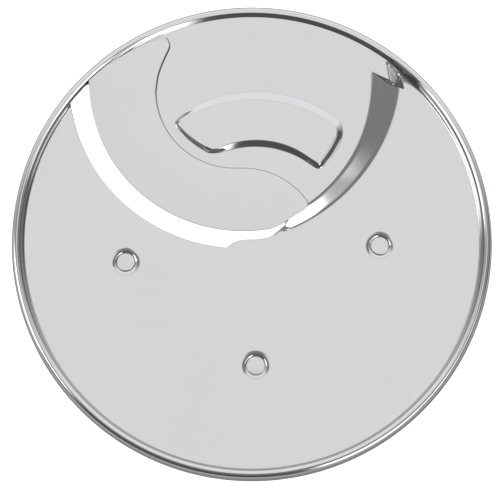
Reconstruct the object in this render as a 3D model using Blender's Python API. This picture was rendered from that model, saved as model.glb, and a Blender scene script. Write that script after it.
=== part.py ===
"""Slicing disc of a food processor: a pressed steel disc, its blade and three studs for a drive stem.

The design values are in millimetres, and the scene is in metres. The disc's axis is +Z through the origin,
and z = 0 is the plane of the stud ends that the disc stands on. Seen from above the disc turns
counter-clockwise.
"""

from math import asin, atan2, ceil, cos, degrees, hypot, pi, radians, sin, tan

import bmesh
import bpy
from mathutils import Vector
from mathutils.geometry import delaunay_2d_cdt

MM = 0.001

# Sheet and rim
DISC_RADIUS = 89.0
SHEET = 1.0
RIM_RISE = 4.3
RIM_FOOT_ROUND = 0.6
RIM_FLANK_DEG = 78.0
RIM_CREST_ROUND = 1.1
RIM_CURL_ROUND = 2.0
RIM_SKIRT_DEG = 78.0
RIM_SKIRT = 4.06
RIM_STEPS = 80

# Raised half behind the blade
PLATEAU_RISE = 3.0
RAMP_TOP = ((-15.2, 60.5), 60.5)
RAMP_BASE = ((-11.1, 65.0), 66.8)
RAMP_TOP_ENDS = (85.3, 8.0, (13.6, 7.4))
RAMP_BASE_ENDS = (84.6, -8.0, (13.6, 2.9))
RAMP_LINE_STEP = 5.0
PLATEAU_LIMIT = ((-3.35, 60.3), 60.9)
PLATEAU_FADE_DEG = (134.0, 137.0)
COVE_FOOT_ROUND = 2.6
COVE_WALL_DEG = 36.0
COVE_TIGHTENS_DEG = (114.0, 132.0)
COVE_BLEND = 0.3

# Slot
SLOT_OUTER = ((-3.6, 61.1), 65.4)
SLOT_SEAT = ((-3.1, 59.5), 54.5)
SLOT_SEAT_START = (12.6, 7.2)
SLOT_RIM_RADIUS = 84.9
SLOT_ENDS_NEAR_DEG = (189.0, 178.0)
SLOT_END_CORNERS_DEG = (1.0, 0.7)
SLOT_TAIL = ((-9.4, -3.9), (-6.6, -2.1), (-3.6, -1.1), (1.6, -0.9), (6.0, -0.2), (9.6, 1.7), (12.6, 3.9))

# Raised fan-shaped boss
BOSS_RISE = 1.6
BOSS_MIDDLE = (2.5, 43.0)
BOSS_REAR = (((1.61, 5.77), 48.93), ((0.65, 0.99), 50.54))
BOSS_FRONT = (((1.2, -0.7), 34.41), ((1.72, 3.54), 32.18))
BOSS_LEFT = (((-0.29, 63.0), 35.4), ((-5.54, 56.38), 25.84))
BOSS_RIGHT = (((0.82, 50.27), 35.28), ((-33.26, 67.94), 71.46))
BOSS_LEFT_FROM = -8.0
BOSS_RIGHT_FROM = 18.0
BOSS_CORNER = 2.0
BOSS_LEAST_WALL = 0.8
BOSS_REACH = (5.0, 40.0)
BOSS_STEPS = 90

# Dimples and studs
STUD_CIRCLE = 47.5
STUD_PLACES_DEG = {"left": 191.3, "front": 271.7, "right": 356.1}
DIMPLE_FLOOR_RADIUS = 3.6
DIMPLE_DEPTH = 0.65
DIMPLE_WALL_DEG = 40.0
DIMPLE_LIP_ROUND = 2.6
STUD_HOLE_RADIUS = 3.5
STUD_PIN_RADIUS = 3.3
STUD_SHOULDER = (4.4, 3.2)
STUD_NECK = (2.25, 2.2)
STUD_HEAD = (4.0, 1.9)
STUD_CHAMFER = 0.4
STUD_STEPS = 24

# Blade
BLADE_THICKNESS = 0.8
BLADE_EDGE = ((-3.1, 59.5), 58.0)
BLADE_BACK_ROUND = ((-6.1, 55.2), 30.0)
BLADE_BACK_INNER = ((-3.1, -3.1), 28.3)
BLADE_EDGE_ENDS_DEG = (180.0, 275.5)
BLADE_ROUND_ENDS_DEG = (273.0, 181.5)
BLADE_INNER_START_DEG = 38.5
BLADE_TAIL = ((6.6, 2.3), (10.4, 3.7), (13.5, 5.8))
BLADE_TIP = ((19.4, 9.7), (20.6, 11.0), (20.4, 12.7))
BLADE_BACKS_MEET = (-4.56, 25.24)
BLADE_SHOULDER = ((-34.0, 65.4), (-31.3, 71.9), (-31.3, 74.0), (-32.3, 75.6))
BLADE_RIM = ((83.1, 113.5), (84.5, 132.0))
BLADE_RIM_STEPS = 5
BLADE_TAB_RADIUS = 84.75
BLADE_TAB_CORNER = 0.6
BLADE_TAB_DEG = (133.2, 136.2)
BLADE_GRIND = 2.2
BLADE_EDGE_LAND = 0.1

SEAT_GAP = 0.05
SAME_POINT = 0.01
SHARP_DEG = 16.0
STUD_LENGTH = STUD_SHOULDER[1] + STUD_NECK[1] + STUD_HEAD[1]
PLATE_HEIGHT = STUD_LENGTH + SEAT_GAP + SHEET + DIMPLE_DEPTH


# -------------------------------------------------------------------------------------------- plane outlines

def polar(radius, angle_deg, centre=(0.0, 0.0)):
    """A point at a radius and an angle from a centre."""
    angle = radians(angle_deg)
    return (centre[0] + radius * cos(angle), centre[1] + radius * sin(angle))


def bearing(point, centre=(0.0, 0.0)):
    """The angle in degrees, 0 to 360, at which a point lies from a centre."""
    return degrees(atan2(point[1] - centre[1], point[0] - centre[0])) % 360.0


def distance(point, centre):
    return hypot(point[0] - centre[0], point[1] - centre[1])


def arc(circle, start_deg, end_deg, step=4.0):
    """Points along a circle ((x, y), radius), both ends included, no more than step millimetres apart."""
    centre, radius = circle
    count = max(1, ceil(abs(radians(end_deg - start_deg)) * radius / step))
    return [polar(radius, start_deg + (end_deg - start_deg) * i / count, centre) for i in range(count + 1)]


def crossing_deg(circle, radius, near_deg):
    """The bearing on a circle, near a given one, at which it meets a circle about the disc's axis."""
    low = near_deg - 12.0
    high = near_deg + 12.0
    rising = hypot(*polar(circle[1], high, circle[0])) > hypot(*polar(circle[1], low, circle[0]))
    for _ in range(40):
        middle = (low + high) / 2.0
        outside = hypot(*polar(circle[1], middle, circle[0])) > radius
        if outside == rising:
            high = middle
        else:
            low = middle
    return (low + high) / 2.0


def slot_outline():
    """The slot in the sheet: outer edge, tail near the axis, seat edge under the blade, end at the rim."""
    outer_end = crossing_deg(SLOT_OUTER, SLOT_RIM_RADIUS, SLOT_ENDS_NEAR_DEG[0])
    seat_end = crossing_deg(SLOT_SEAT, SLOT_RIM_RADIUS, SLOT_ENDS_NEAR_DEG[1])
    outer = arc(SLOT_OUTER, outer_end + SLOT_END_CORNERS_DEG[0], bearing(SLOT_TAIL[0], SLOT_OUTER[0]))
    seat = arc(SLOT_SEAT, bearing(SLOT_SEAT_START, SLOT_SEAT[0]), seat_end)
    rim_to = bearing(outer[0]) - SLOT_END_CORNERS_DEG[1]
    rim = arc(((0.0, 0.0), SLOT_RIM_RADIUS), bearing(seat[-1]), rim_to)
    return outer + list(SLOT_TAIL[1:]) + seat + rim[1:]


def boss_share(point):
    """Share of the boss's wall at a point: 0 on its foot line, 1 on its crest line, and more inside."""
    sides = [(BOSS_REAR, 1.0), (BOSS_FRONT, -1.0)]
    if point[0] < BOSS_LEFT_FROM:
        sides.append((BOSS_LEFT, 1.0))
    if point[0] > BOSS_RIGHT_FROM:
        sides.append((BOSS_RIGHT, 1.0))
    shares = []
    for (foot, crest), sign in sides:
        past_foot = sign * (foot[1] - distance(point, foot[0]))
        past_crest = sign * (crest[1] - distance(point, crest[0]))
        shares.append(past_foot / max(past_foot - past_crest, BOSS_LEAST_WALL))
    shares.sort()
    short = [max(BOSS_CORNER - share, 0.0) for share in shares[:2]]
    return BOSS_CORNER - hypot(*short) if short[1] > 0.0 else shares[0]


def boss_outline(share):
    """The line around the fan-shaped boss at a share of its wall."""
    outline = []
    for i in range(BOSS_STEPS):
        low, high = BOSS_REACH
        for _ in range(24):
            middle = (low + high) / 2.0
            if boss_share(polar(middle, 360.0 * i / BOSS_STEPS, BOSS_MIDDLE)) > share:
                low = middle
            else:
                high = middle
        outline.append(polar(low, 360.0 * i / BOSS_STEPS, BOSS_MIDDLE))
    return outline


def blade_outline():
    """The blade's plan, and the number of its points that belong to the cutting edge."""
    tab_corner = crossing_deg(BLADE_EDGE, BLADE_TAB_RADIUS - BLADE_TAB_CORNER, BLADE_EDGE_ENDS_DEG[0])
    edge = arc(BLADE_EDGE, tab_corner, BLADE_EDGE_ENDS_DEG[1]) + list(BLADE_TAIL)
    inner_end = bearing(BLADE_BACKS_MEET, BLADE_BACK_INNER[0])
    inner_back = arc(BLADE_BACK_INNER, BLADE_INNER_START_DEG, inner_end)
    round_back = arc(BLADE_BACK_ROUND, *BLADE_ROUND_ENDS_DEG)
    rim = []
    for i in range(BLADE_RIM_STEPS + 1):
        (near, near_deg), (far, far_deg) = BLADE_RIM
        share = i / BLADE_RIM_STEPS
        rim.append(polar(near + (far - near) * share, near_deg + (far_deg - near_deg) * share))
    tab = arc(((0.0, 0.0), BLADE_TAB_RADIUS), *BLADE_TAB_DEG)
    back = list(BLADE_TIP) + inner_back + round_back + list(BLADE_SHOULDER)
    return edge + back + rim + tab, len(edge)


# --------------------------------------------------------------------------------------------- sheet surface

def smooth_max(a, b, blend):
    overlap = max(blend - abs(a - b), 0.0) / blend
    return max(a, b) + overlap * overlap * blend * 0.25


def rounded_step(rise, foot_round, crest_round, wall_deg):
    """A wall of a given rise between two flats: its (run, height) breaks from foot to crest."""
    wall = radians(wall_deg)
    foot = (foot_round * sin(wall), foot_round * (1.0 - cos(wall)))
    crest = (crest_round * sin(wall), crest_round * (1.0 - cos(wall)))
    straight = (rise - foot[1] - crest[1]) / tan(wall)
    return foot, (foot[0] + straight, rise - crest[1]), foot[0] + straight + crest[0]


def step_height(run, rise, foot_round, crest_round, wall_deg):
    """Height on such a wall at a horizontal distance from its foot."""
    foot, top, length = rounded_step(rise, foot_round, crest_round, wall_deg)
    if run <= 0.0:
        return 0.0
    if run < foot[0]:
        return foot_round * (1.0 - cos(asin(run / foot_round)))
    if run < top[0]:
        return foot[1] + (run - foot[0]) * tan(radians(wall_deg))
    if run < length:
        return rise - crest_round * (1.0 - cos(asin((length - run) / crest_round)))
    return rise


RIM_SHAPE = (RIM_RISE, RIM_FOOT_ROUND, RIM_CREST_ROUND, RIM_FLANK_DEG)
RIM_SKIRT_LEAN = radians(RIM_SKIRT_DEG)
RIM_CREST = DISC_RADIUS - RIM_CURL_ROUND * sin(RIM_SKIRT_LEAN) - RIM_SKIRT * cos(RIM_SKIRT_LEAN)
RIM_FOOT = RIM_CREST - rounded_step(*RIM_SHAPE)[2]
RIM_BEND = RIM_CURL_ROUND * RIM_SKIRT_LEAN
RIM_EDGE = RIM_CREST + RIM_BEND + RIM_SKIRT
COVE_SHAPE = (RIM_RISE - PLATEAU_RISE, COVE_FOOT_ROUND, RIM_CREST_ROUND, COVE_WALL_DEG)
COVE_FOOT = RIM_CREST - rounded_step(*COVE_SHAPE)[2]
DIMPLE_SHAPE = (DIMPLE_DEPTH, 0.0, DIMPLE_LIP_ROUND, DIMPLE_WALL_DEG)
DIMPLE_RADIUS = DIMPLE_FLOOR_RADIUS + rounded_step(*DIMPLE_SHAPE)[2]


def share_between(value, ends):
    """0 up to the first end, 1 from the second, and even in between."""
    return min(1.0, max(0.0, (value - ends[0]) / (ends[1] - ends[0])))


def stud_place(name):
    return polar(STUD_CIRCLE, STUD_PLACES_DEG[name])


def ramp_share(point):
    """0 at the ramp's base and beyond, 1 at its top and on the plateau."""
    past_top = distance(point, RAMP_TOP[0]) - RAMP_TOP[1]
    before_base = RAMP_BASE[1] - distance(point, RAMP_BASE[0])
    if past_top <= 0.0:
        return 1.0
    if before_base <= 0.0:
        return 0.0
    return before_base / (past_top + before_base)


def plateau_height(point):
    """Height of the main plate or plateau, with the plateau fading out at the slot's end at the rim."""
    if distance(point, PLATEAU_LIMIT[0]) >= PLATEAU_LIMIT[1]:
        return 0.0
    fade = 1.0
    if hypot(*point) >= SLOT_RIM_RADIUS:
        fade = 1.0 - share_between(bearing(point), PLATEAU_FADE_DEG) if point[0] < 0.0 else 1.0
    return PLATEAU_RISE * ramp_share(point) * fade


def cove_height(point):
    """Height of the rim's cove over the plateau: wide at the rear, drawn in tight along the blade's end."""
    radius = hypot(*point)
    wide = PLATEAU_RISE + step_height(radius - COVE_FOOT, *COVE_SHAPE)
    tight = smooth_max(PLATEAU_RISE, step_height(radius - RIM_FOOT, *RIM_SHAPE), COVE_BLEND)
    share = share_between(bearing(point), COVE_TIGHTENS_DEG) if point[0] < 0.0 else 0.0
    return wide + (tight - wide) * share


def sheet_height(point):
    """Height of the sheet's upper face over the main plate, out to the rim's crest."""
    raised = plateau_height(point) / PLATEAU_RISE
    rim = step_height(hypot(*point) - RIM_FOOT, *RIM_SHAPE)
    height = rim + (cove_height(point) - rim) * raised
    for name in STUD_PLACES_DEG:
        off = distance(point, stud_place(name))
        if off < DIMPLE_RADIUS:
            height = step_height(off - DIMPLE_FLOOR_RADIUS, *DIMPLE_SHAPE) - DIMPLE_DEPTH
    return height


def upper_face(point):
    """The upper face at a point of the flat pattern, which goes on past the crest down the skirt."""
    radius = hypot(*point)
    if radius <= RIM_CREST:
        return Vector((point[0], point[1], sheet_height(point)))
    run = radius - RIM_CREST
    bend = min(run, RIM_BEND) / RIM_CURL_ROUND
    skirt = max(0.0, run - RIM_BEND)
    out = RIM_CREST + RIM_CURL_ROUND * sin(bend) + skirt * cos(RIM_SKIRT_LEAN)
    drop = RIM_CURL_ROUND * (1.0 - cos(bend)) + skirt * sin(RIM_SKIRT_LEAN)
    return Vector((point[0] / radius * out, point[1] / radius * out, RIM_RISE - drop))


def upper_normal(point):
    """The upper face's outward direction, from its slope around the point."""
    reach = 0.02
    x, y = point
    along_x = upper_face((x + reach, y)) - upper_face((x - reach, y))
    along_y = upper_face((x, y + reach)) - upper_face((x, y - reach))
    return along_x.cross(along_y).normalized()


# ---------------------------------------------------------------------------------------------------- meshes

def clear_scene():
    for item in list(bpy.data.objects):
        bpy.data.objects.remove(item, do_unlink=True)


def steel(name, colour, roughness):
    material = bpy.data.materials.new(name)
    material.use_nodes = True
    shader = material.node_tree.nodes["Principled BSDF"]
    shader.inputs["Base Color"].default_value = (*colour, 1.0)
    shader.inputs["Metallic"].default_value = 1.0
    shader.inputs["Roughness"].default_value = roughness
    return material


def place(name, mesh_data, material, location=(0.0, 0.0, 0.0)):
    """Turn a bmesh in millimetres into a named object in metres, smooth but for its real edges."""
    bmesh.ops.scale(mesh_data, vec=(MM, MM, MM), verts=mesh_data.verts)
    mesh = bpy.data.meshes.new(name)
    mesh_data.to_mesh(mesh)
    mesh_data.free()
    mesh.materials.append(material)
    mesh.shade_smooth()
    mesh.set_sharp_from_angle(angle=radians(SHARP_DEG))
    item = bpy.data.objects.new(name, mesh)
    item.location = [MM * value for value in location]
    bpy.context.collection.objects.link(item)
    return item


def inside(point, outline):
    """Whether a point lies in a closed outline."""
    hit = False
    for (x0, y0), (x1, y1) in zip(outline, outline[1:] + outline[:1]):
        if (y0 > point[1]) != (y1 > point[1]):
            if point[0] < x0 + (x1 - x0) * (point[1] - y0) / (y1 - y0):
                hit = not hit
    return hit


def circle_points(centre, radius, steps):
    return [polar(radius, 360.0 * i / steps, centre) for i in range(steps)]


def sheet_pattern():
    """The flat pattern's rings, holes and crease lines, for the triangulation."""
    foot, top, _ = rounded_step(*RIM_SHAPE)
    rim_radii = [COVE_FOOT, RIM_FOOT, RIM_FOOT + foot[0] * 0.6, RIM_FOOT + foot[0], RIM_FOOT + top[0]]
    rim_radii += [(RIM_FOOT + top[0] + RIM_CREST) / 2.0, RIM_CREST]
    rim_radii += [RIM_CREST + RIM_BEND * share for share in (0.2, 0.4, 0.6, 0.8, 1.0)]
    rim_radii.append(RIM_EDGE)
    loops = [circle_points((0.0, 0.0), radius, RIM_STEPS) for radius in rim_radii]
    loops.append(boss_outline(0.0))
    loops.append(boss_outline(1.0))
    wall = DIMPLE_RADIUS - DIMPLE_FLOOR_RADIUS
    holes = [slot_outline()]
    for name in STUD_PLACES_DEG:
        centre = stud_place(name)
        for share in (1.0, 0.65, 0.35, 0.0):
            loops.append(circle_points(centre, DIMPLE_FLOOR_RADIUS + wall * share, STUD_STEPS))
        holes.append(circle_points(centre, STUD_HOLE_RADIUS, STUD_STEPS))
    lines = []
    for circle, (rim_end, near_deg, tail_end) in ((RAMP_TOP, RAMP_TOP_ENDS), (RAMP_BASE, RAMP_BASE_ENDS)):
        start = crossing_deg(circle, rim_end, near_deg)
        lines.append(arc(circle, start, bearing(tail_end, circle[0]) - 360.0, RAMP_LINE_STEP))
    return loops, holes, lines


def triangulated(loops, holes, lines):
    """Points and triangles of the pattern, with the holes left open."""
    points = []
    edges = []
    for loop in loops + holes:
        first = len(points)
        points += loop
        edges += [(first + i, first + (i + 1) % len(loop)) for i in range(len(loop))]
    for line in lines:
        first = len(points)
        points += line
        edges += [(first + i, first + i + 1) for i in range(len(line) - 1)]
    flat = [Vector(point) for point in points]
    corners, _, faces, _, _, _ = delaunay_2d_cdt(flat, edges, [], 0, 1e-5)
    kept = []
    for face in faces:
        middle = sum((corners[i] for i in face), Vector((0.0, 0.0))) / len(face)
        if not any(inside(middle, hole) for hole in holes):
            kept.append(face)
    return [tuple(corner) for corner in corners], kept


def on_boss(point, crest_line):
    """Whether a point lies on the boss's top or on its crest line."""
    nearest = min(distance(point, corner) for corner in crest_line)
    return inside(point, crest_line) or nearest < SAME_POINT


def sheet_shell(points, faces):
    """A closed shell: the pattern's faces on top, the same faces a sheet's thickness below, and cut edges."""
    crest_line = boss_outline(1.0)
    shell = bmesh.new()
    upper = []
    lower = []
    for point in points:
        high = upper_face(point)
        if on_boss(point, crest_line):
            high.z += BOSS_RISE
        upper.append(shell.verts.new(high))
        lower.append(shell.verts.new(high - upper_normal(point) * SHEET))
    for face in faces:
        shell.faces.new([upper[i] for i in face])
        shell.faces.new([lower[i] for i in reversed(face)])
    border = [edge for edge in shell.edges if edge.is_boundary]
    partner = dict(zip(upper, lower))
    for edge in border:
        if edge.verts[0] in partner:
            loop = edge.link_loops[0]
            start = loop.vert
            end = loop.link_loop_next.vert
            shell.faces.new([end, start, partner[start], partner[end]])
    loose = [vert for vert in shell.verts if not vert.link_faces]
    bmesh.ops.delete(shell, geom=loose, context="VERTS")
    bmesh.ops.triangulate(shell, faces=shell.faces)
    return shell


def make_disc_plate():
    """The pressed disc: main plate, plateau, ramp, boss, dimples, slot and rolled rim in one sheet."""
    loops, holes, lines = sheet_pattern()
    points, faces = triangulated(loops, holes, lines)
    shell = sheet_shell(points, faces)
    plate_steel = steel("plate_steel", (0.66, 0.67, 0.66), 0.22)
    return place("disc_plate", shell, plate_steel, (0.0, 0.0, PLATE_HEIGHT))


def make_blade():
    """The blade: a flat sheet whose cutting edge is ground from below, up to its upper face."""
    outline, last_edge = blade_outline()
    blade = bmesh.new()
    count = len(outline)
    upper = [blade.verts.new((x, y, BLADE_THICKNESS)) for x, y in outline]
    lower = []
    land = []
    for i, (x, y) in enumerate(outline):
        point = Vector((x, y))
        if 1 <= i <= last_edge:
            inward = Vector(BLADE_EDGE[0]) - point
            point = point + inward.normalized() * BLADE_GRIND
        lower.append(blade.verts.new((point.x, point.y, 0.0)))
        if 1 <= i <= last_edge:
            land.append(blade.verts.new((x, y, BLADE_THICKNESS - BLADE_EDGE_LAND)))
        else:
            land.append(lower[i])
    blade.faces.new(upper)
    blade.faces.new(list(reversed(lower)))
    for i in range(count):
        k = (i + 1) % count
        rims = [(upper, land), (land, lower)]
        for high, low in rims:
            ring = [high[i], low[i], low[k], high[k]]
            corners = [vert for n, vert in enumerate(ring) if vert not in ring[:n]]
            if len(corners) > 2:
                blade.faces.new(corners)
    bmesh.ops.triangulate(blade, faces=blade.faces)
    bmesh.ops.recalc_face_normals(blade, faces=blade.faces)
    seat = PLATE_HEIGHT + PLATEAU_RISE + SEAT_GAP
    return place("slicing_blade", blade, steel("blade_steel", (0.60, 0.61, 0.60), 0.2), (0.0, 0.0, seat))


def stud_profile():
    """The turned stud's (radius, height) outline from its pin end down, with z = 0 at the head's end."""
    shoulder_top = STUD_LENGTH
    neck_top = STUD_HEAD[1] + STUD_NECK[1]
    pin_top = shoulder_top + SEAT_GAP + SHEET
    return [
        (0.0, pin_top),
        (STUD_PIN_RADIUS, pin_top),
        (STUD_PIN_RADIUS, shoulder_top),
        (STUD_SHOULDER[0], shoulder_top),
        (STUD_SHOULDER[0], neck_top),
        (STUD_NECK[0], neck_top),
        (STUD_NECK[0], STUD_HEAD[1]),
        (STUD_HEAD[0] - STUD_CHAMFER, STUD_HEAD[1]),
        (STUD_HEAD[0], STUD_HEAD[1] - STUD_CHAMFER),
        (STUD_HEAD[0], STUD_CHAMFER),
        (STUD_HEAD[0] - STUD_CHAMFER, 0.0),
        (0.0, 0.0),
    ]


def make_stud(name, material):
    """A turned stud staked in a dimple's floor, with a shoulder, neck and head for the stem's hooks."""
    stud = bmesh.new()
    profile = [stud.verts.new((radius, 0.0, height)) for radius, height in stud_profile()]
    edges = [stud.edges.new(pair) for pair in zip(profile, profile[1:])]
    turn = {"cent": (0, 0, 0), "axis": (0, 0, 1), "angle": 2.0 * pi, "steps": STUD_STEPS}
    bmesh.ops.spin(stud, geom=profile + edges, **turn)
    bmesh.ops.remove_doubles(stud, verts=stud.verts, dist=1e-4)
    bmesh.ops.triangulate(stud, faces=stud.faces)
    bmesh.ops.recalc_face_normals(stud, faces=stud.faces)
    return place("drive_stud_" + name, stud, material, (*stud_place(name), 0.0))


def main():
    clear_scene()
    make_disc_plate()
    make_blade()
    stud_steel = steel("stud_steel", (0.58, 0.58, 0.57), 0.3)
    for name in STUD_PLACES_DEG:
        make_stud(name, stud_steel)


main()
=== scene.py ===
"""Slicing disc of a food processor: finished meshes, steels, and a light studio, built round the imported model.

Lengths in the geometry functions are in millimetres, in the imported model's own frame: the disc's axis is +Z
through the origin and z = 0 is the plane of the stud ends.
"""

from math import atan2, ceil, cos, degrees, hypot, pi, radians, sin, tan

import bmesh
import bpy
from bpy.props import FloatProperty, FloatVectorProperty, PointerProperty
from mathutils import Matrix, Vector
from mathutils.geometry import delaunay_2d_cdt


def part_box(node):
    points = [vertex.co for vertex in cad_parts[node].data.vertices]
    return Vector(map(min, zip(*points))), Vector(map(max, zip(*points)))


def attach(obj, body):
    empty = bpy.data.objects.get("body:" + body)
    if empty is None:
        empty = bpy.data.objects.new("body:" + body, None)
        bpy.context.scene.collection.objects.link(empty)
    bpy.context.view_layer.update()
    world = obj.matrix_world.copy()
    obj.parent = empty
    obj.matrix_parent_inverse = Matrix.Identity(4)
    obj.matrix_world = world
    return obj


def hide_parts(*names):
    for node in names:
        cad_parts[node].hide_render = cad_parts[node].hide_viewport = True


bl_info = {
    "name": "Slicing Disc",
    "version": (1, 0, 0),
    "blender": (4, 5, 0),
    "location": "3D View > Sidebar > Slicing Disc",
    "description": "Builds the pressed disc, its blade, its drive studs and a studio to show them in",
    "category": "Object",
}

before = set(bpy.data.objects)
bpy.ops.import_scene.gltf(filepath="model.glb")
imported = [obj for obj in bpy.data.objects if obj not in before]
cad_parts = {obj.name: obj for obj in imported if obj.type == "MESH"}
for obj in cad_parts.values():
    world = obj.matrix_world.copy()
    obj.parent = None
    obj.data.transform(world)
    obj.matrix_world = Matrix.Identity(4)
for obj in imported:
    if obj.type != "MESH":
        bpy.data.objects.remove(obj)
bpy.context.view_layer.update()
MM = 0.001


def frame_mm(node, corner, axis):
    """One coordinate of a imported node's box, in millimetres: corner 0 is the low one and 1 the high one."""
    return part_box(node)[corner][axis] / MM


# ------------------------------------------------------------------------------------------ sizes of the pieces

DISC_RADIUS = frame_mm("disc_plate", 1, 0)
BLADE_TOP = frame_mm("slicing_blade", 1, 2)
BLADE_THICKNESS = BLADE_TOP - frame_mm("slicing_blade", 0, 2)
SEAT_GAP = 0.02
WELD_GAP = 0.05
STAKE_GAP = 0.05
SHEET = 1.0
PLATEAU_RISE = 3.0
MAIN_TOP = BLADE_TOP - BLADE_THICKNESS - WELD_GAP - PLATEAU_RISE

RIM_RISE = 4.3
RIM_SECTION = ((83.6, 0.0), (84.1, 0.1), (84.5, 0.42), (84.8, 1.1), (85.4, 3.82), (85.95, 4.23), (86.2, 4.3))
RIM_CURL_ROUND = 2.0
RIM_SKIRT_DEG = 78.0
RIM_SKIRT = 4.06
RIM_STEPS = 360
COVE_SECTION = ((83.1, 3.0), (83.8, 3.03), (84.2, 3.1), (84.65, 3.58), (85.5, 4.2), (86.2, 4.3))
COVE_TIGHTENS_DEG = (114.0, 132.0)
COVE_BLEND = 0.3

RAMP_TOP = ((-15.2, 60.5), 60.5)
RAMP_BASE = ((-11.1, 65.0), 66.8)
RAMP_FOLD = 0.16
# Where the lines along each fold end: the radius at the rim, the bearing to look near, and the end by the slot.
RAMP_TOP_ENDS = (85.4, 8.0, (14.4, 7.9))
RAMP_BASE_ENDS = (84.8, -8.0, (14.4, 3.9))
RAMP_LINE_OFFS = (-2.2, -1.6, -1.2, -0.8, -0.4, 0.0, 0.4, 0.8, 1.2, 1.6)
PLATEAU_LIMIT = ((-3.35, 60.3), 60.9)
PLATEAU_FADE_DEG = (134.0, 137.0)

SLOT_OUTER = ((-3.6, 61.1), 65.4)
SLOT_SEAT = ((-3.1, 59.5), 54.5)
SLOT_RIM_RADIUS = 84.9
SLOT_RIM_NEAR_DEG = (189.0, 178.0)
SLOT_SEAT_START = (12.6, 7.2)
SLOT_RIM_CORNERS_DEG = (1.0, 0.7)
SLOT_TAIL = ((-9.4, -3.9), (-6.6, -2.1), (-3.6, -1.1), (1.6, -0.9), (6.0, -0.2), (9.6, 1.7), (12.6, 3.9))
CUT_EDGE_ROUND = 0.12

BOSS_RISE = 1.6
BOSS_MIDDLE = (2.5, 43.0)
BOSS_REAR = (((1.61, 5.77), 48.93), ((0.65, 0.99), 50.54))
BOSS_FRONT = (((1.2, -0.7), 34.41), ((1.72, 3.54), 32.18))
BOSS_LEFT = (((-0.29, 63.0), 35.4), ((-5.54, 56.38), 25.84))
BOSS_RIGHT = (((0.82, 50.27), 35.28), ((-33.26, 67.94), 71.46))
BOSS_CORNER = 2.0
BOSS_FOLD = 0.15
BOSS_LEFT_UNTIL = -8.0
BOSS_RIGHT_FROM = 18.0
BOSS_LEAST_WALL = 0.8
BOSS_REACH = (5.0, 40.0)
BOSS_STEPS = 480
BOSS_HALVINGS = 24
BOSS_SHARES = (-0.35, -0.15, -0.05, 0.05, 0.15, 0.3, 0.5, 0.7, 0.85, 0.95, 1.05, 1.15, 1.35)

STUD_CIRCLE = 47.5
STUD_PLACES_DEG = {"left": 191.3, "front": 271.7, "right": 356.1}
DIMPLE_FLOOR_RADIUS = 3.6
DIMPLE_DEPTH = 0.65
DIMPLE_WALL_DEG = 42.0
DIMPLE_LIP = 2.2
DIMPLE_LIP_DEG = 24.0
STUD_HOLE_RADIUS = 3.5
STUD_PIN_RADIUS = 3.32
STUD_PIN_MARK = 2.6
STUD_SHOULDER = (4.4, 3.2)
STUD_NECK = (2.25, 2.2)
STUD_HEAD = (4.0, 1.9)
STUD_LENGTH = STUD_SHOULDER[1] + STUD_NECK[1] + STUD_HEAD[1]
TURNED_STEPS = 96
TURNED_EASE = 0.12
TURNED_FILLET = (0.2, 0.06)
HEAD_CHAMFER = 0.45
HEAD_CENTRE = ((1.1, 0.0), (0.9, 0.12), (0.0, 0.5))

BLADE_EDGE = ((-3.1, 59.5), 58.0)
BLADE_BACK_ROUND = ((-6.1, 55.2), 30.0)
BLADE_BACK_INNER = ((-3.1, -3.1), 28.3)
BLADE_EDGE_DEG = (180.0, 273.0)
BLADE_EDGE_SHORT = 0.6
BLADE_TAIL = ((3.6, 1.9), (7.4, 2.5), (10.6, 3.9), (13.5, 5.8))
BLADE_TIP_START = (19.2, 9.5)
BLADE_TIP = ((19.9, 10.1), (20.6, 11.2), (20.4, 12.6), (19.4, 14.1))
BLADE_INNER_DEG = 39.5
BLADE_INNER_END = (-4.56, 25.24)
BLADE_ROUND_DEG = (273.0, 181.5)
BLADE_SHOULDER = ((-36.0, 55.8), (-35.2, 61.5), (-33.2, 67.2), (-31.6, 70.8), (-31.1, 72.6), (-31.4, 74.2),
                  (-32.2, 75.5), (-33.2, 76.3))
BLADE_RIM_RADII = (83.3, 84.8)
BLADE_RIM_FROM_DEG = 114.0
BLADE_RIM_STEPS = 18
BLADE_TAB_RADIUS = 85.0
BLADE_TAB_DEG = (132.6, 136.2)
BLADE_GRIND = 2.2
BLADE_EDGE_LAND = 0.1
BLADE_CORNER_ROUND = 0.14
# The fine groove in the plateau along the blade's back: (distance from the blade, depth).
BLADE_LINE = ((0.02, 0.0), (0.1, 0.12), (0.2, 0.3), (0.3, 0.12), (0.4, 0.0))
BLADE_LINE_TRIM = (6, 4)

GUSSET_CORNER = (45.6, 62.5)
GUSSET_FOLD = (51.6, 62.0)
GUSSET_FRONT = (244.0, 12.0)
GUSSET_WALL = 0.13
GUSSET_LINE = 12.5
GUSSET_SIDE = (9.0, 0.6)
GUSSET_SIDE_ROUND = 0.8
GUSSET_BEYOND = (36.0, 50.0)
GUSSET_NET_FROM = (44.0, 54.5)
GUSSET_NET_STEP = 0.3
GUSSET_NET_COUNTS = (50, 46)
GUSSET_LINE_STEPS = 40
SWELL_FROM_DEG = 43.5
SWELL_TO_DEG = 54.0
SWELL_FOOT = 79.6
SWELL_RISE = 1.6
SWELL_SHORT_OF_CREST = 1.2
SWELL_DENTS = (((52.9, 65.2), 1.1, 0.3), ((55.6, 61.7), 1.0, 0.35))


# ---------------------------------------------------------------------------------------------- plane outlines

def polar(radius, angle_deg, centre=(0.0, 0.0)):
    """A point at a radius and an angle from a centre."""
    angle = radians(angle_deg)
    return (centre[0] + radius * cos(angle), centre[1] + radius * sin(angle))


def bearing(point, centre=(0.0, 0.0)):
    """The angle in degrees, 0 to 360, at which a point lies from a centre."""
    return degrees(atan2(point[1] - centre[1], point[0] - centre[0])) % 360.0


def distance(point, centre):
    return hypot(point[0] - centre[0], point[1] - centre[1])


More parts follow.
